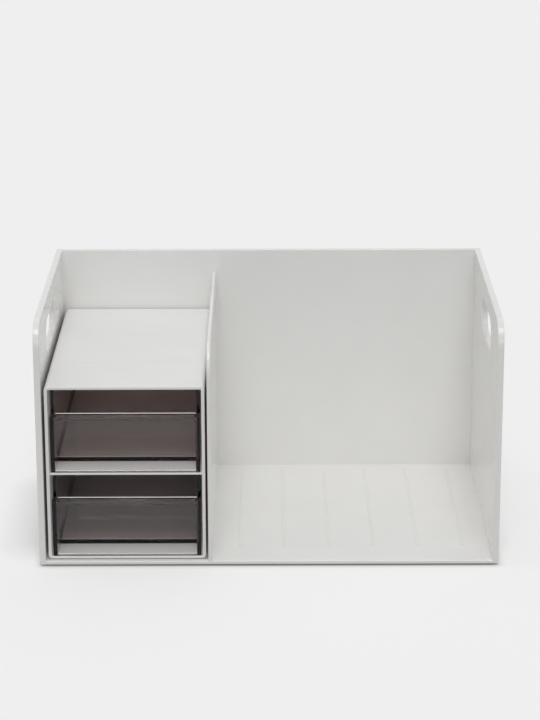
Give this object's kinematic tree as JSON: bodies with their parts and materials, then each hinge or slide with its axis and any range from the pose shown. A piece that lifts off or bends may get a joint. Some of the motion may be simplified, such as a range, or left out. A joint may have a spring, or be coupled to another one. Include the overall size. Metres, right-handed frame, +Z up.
{
  "type": "desk organizer with drawers",
  "caption": "White open-front desk organizer: a tall bay with handled side panels beside a free-standing drawer unit with smoky trays that pull out by a grip lip.",
  "frame": {"origin": "on the desk surface, in the middle of the organizer's width and depth", "axes": "+Z up, +X to the right seen from the front, +Y to the back; drawers open to -Y"},
  "size_m": [0.361, 0.226, 0.199],
  "materials": {
    "white_panel": "satin moulded, warm white",
    "white_case": "satin moulded, white",
    "smoky_plastic": "clear smoky grey, polished",
    "foot_rubber": "soft matt"
  },
  "bodies": {
    "organizer_frame": {"base_panel": "white_panel", "back_panel": "white_panel", "left_side_panel": "white_panel", "right_side_panel": "white_panel", "divider_panel": "white_panel", "base_foot_front_left": "foot_rubber", "base_foot_front_right": "foot_rubber", "base_foot_rear_left": "foot_rubber", "base_foot_rear_right": "foot_rubber"},
    "drawer_unit": {"drawer_case": "white_case", "middle_shelf": "white_case", "case_back_cover": "white_case", "case_foot_front_left": "foot_rubber", "case_foot_front_right": "foot_rubber", "case_foot_rear_left": "foot_rubber", "case_foot_rear_right": "foot_rubber"},
    "upper_drawer": {"upper_drawer": "smoky_plastic"},
    "lower_drawer": {"lower_drawer": "smoky_plastic"}
  },
  "joints": [
    {"name": "drawer_unit_slide", "type": "slide", "parent": "organizer_frame", "child": "drawer_unit", "axis": [0, -1, 0], "range_m": [0, 0.1]},
    {"name": "upper_drawer_slide", "type": "slide", "parent": "drawer_unit", "child": "upper_drawer", "axis": [0, -1, 0], "range_m": [0, 0.14]},
    {"name": "lower_drawer_slide", "type": "slide", "parent": "drawer_unit", "child": "lower_drawer", "axis": [0, -1, 0], "range_m": [0, 0.14]}
  ]
}
